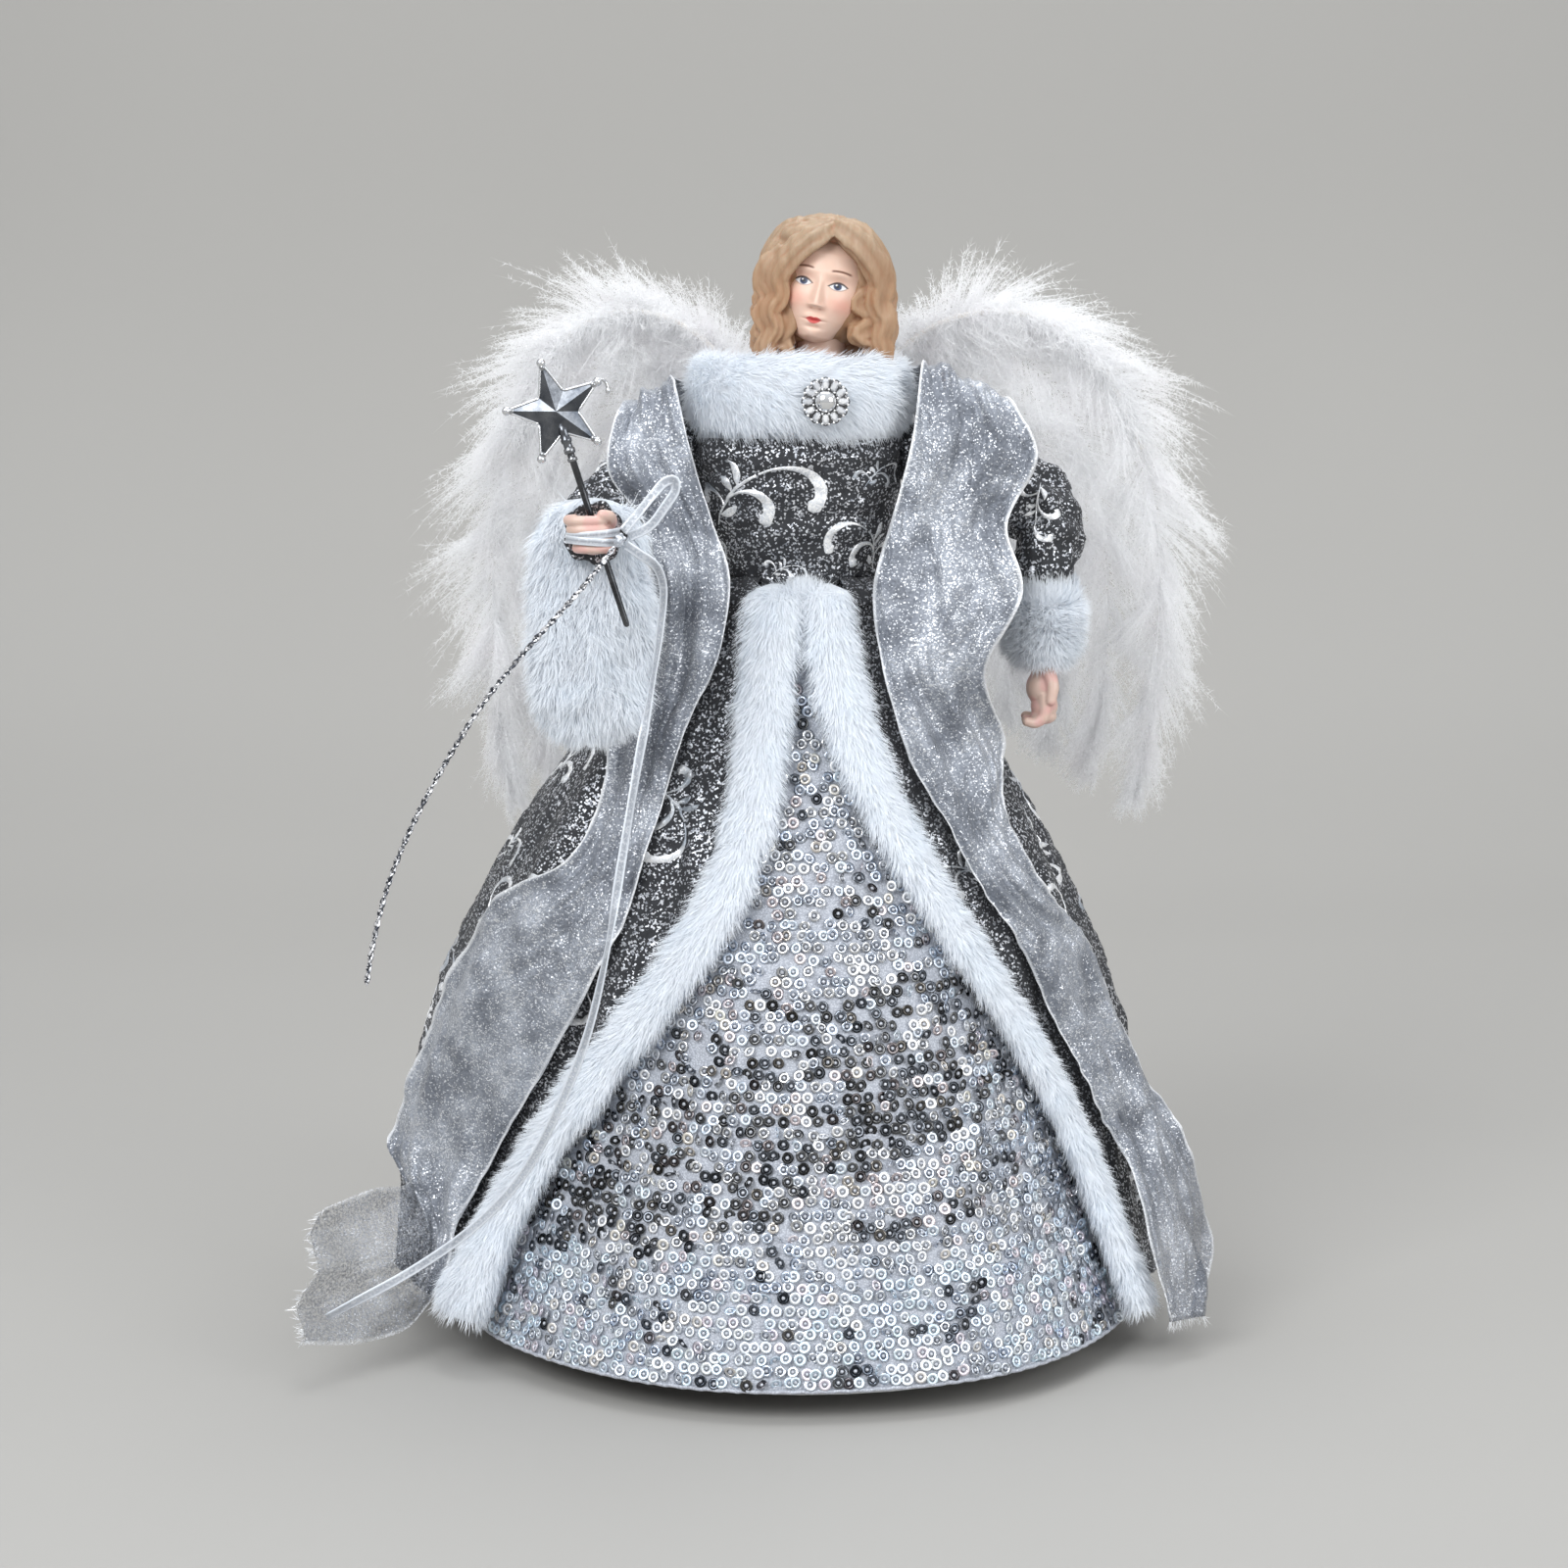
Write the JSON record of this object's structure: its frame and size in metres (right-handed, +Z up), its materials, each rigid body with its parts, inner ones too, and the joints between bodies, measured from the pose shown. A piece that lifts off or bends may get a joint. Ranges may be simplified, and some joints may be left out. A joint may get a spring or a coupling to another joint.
{
  "type": "angel tree topper",
  "caption": "Angel tree topper: dressed doll on a hollow cone, with posable arms, a sliding star wand, folding feather wings, a fur-trimmed open robe and a long stole.",
  "frame": {"origin": "middle of the support cone's open rim, where the tree's tip goes in", "axes": "+Z up along the cone, -Y the way the doll faces, -X the doll's right hand"},
  "size_m": [0.2516, 0.2004, 0.3048],
  "materials": {
    "white_plastic": "satin moulded plastic",
    "foam": "plain foam",
    "resin": "painted cast resin, satin",
    "brocade": "charcoal glitter cloth with silver foil scrolls",
    "lame": "crinkled silver lamé",
    "lining": "matt stiffened lining",
    "sequin": "mesh covered in silver sequins",
    "fur": "long white fake fur",
    "feather": "fluffy white marabou",
    "ribbon": "sheer silver ribbon",
    "wire": "plain steel wire",
    "dark_chrome": "dark chrome plating",
    "silver": "bright silver plating",
    "crystal": "clear faceted crystal"
  },
  "bodies": {
    "figure": {"support_cone": "white_plastic", "skirt_lining": "lining", "sequin_skirt": "sequin", "torso_block": "foam", "bodice": "brocade", "shoulder_wire": "wire", "head_bust": "resin", "fur_collar": "fur", "brooch_setting": "silver", "brooch_stone": "silver", "rhinestone_1": "crystal", "rhinestone_2": "crystal", "rhinestone_3": "crystal", "rhinestone_4": "crystal", "rhinestone_5": "crystal", "rhinestone_6": "crystal", "rhinestone_7": "crystal", "rhinestone_8": "crystal", "rhinestone_9": "crystal", "rhinestone_10": "crystal", "rhinestone_11": "crystal", "rhinestone_12": "crystal", "right_fur_trim": "fur", "left_fur_trim": "fur", "robe": "brocade", "stole": "lame", "wing_plate": "white_plastic"},
    "right_arm": {"right_arm_wire": "wire", "right_sleeve": "brocade", "right_cuff": "fur", "right_hand": "resin", "ribbon_band": "ribbon", "ribbon_knot": "ribbon", "ribbon_loop": "ribbon", "ribbon_tail_right": "ribbon", "ribbon_tail_left": "ribbon"},
    "wand": {"wand_rod": "dark_chrome", "wand_star": "dark_chrome"},
    "left_arm": {"left_arm_wire": "wire", "left_sleeve": "brocade", "left_cuff": "fur", "left_hand": "resin"},
    "right_wing": {"right_wing_wire": "wire", "right_feather_1": "feather", "right_feather_2": "feather", "right_feather_3": "feather", "right_feather_4": "feather"},
    "left_wing": {"left_wing_wire": "wire", "left_feather_1": "feather", "left_feather_2": "feather", "left_feather_3": "feather", "left_feather_4": "feather"}
  },
  "joints": [
    {"name": "right_shoulder", "type": "hinge", "parent": "figure", "child": "right_arm", "pos_m": [-0.038, 0.002, 0.238], "axis": [0, 1, 0], "range_deg": [-6, 30], "deforming": ["ribbon_tail_left"]},
    {"name": "wand_slide", "type": "slide", "parent": "right_arm", "child": "wand", "axis": [-0.3057, 0, 0.9521], "range_m": [-0.008, 0.012]},
    {"name": "left_shoulder", "type": "hinge", "parent": "figure", "child": "left_arm", "pos_m": [0.038, 0.002, 0.238], "axis": [0, -1, 0], "range_deg": [-5, 30]},
    {"name": "right_wing_fold", "type": "hinge", "parent": "figure", "child": "right_wing", "pos_m": [-0.007, 0.028, 0.225], "axis": [0, 0, -1], "range_deg": [-8, 40]},
    {"name": "left_wing_fold", "type": "hinge", "parent": "figure", "child": "left_wing", "pos_m": [0.007, 0.028, 0.225], "axis": [0, 0, 1], "range_deg": [-8, 40]}
  ]
}
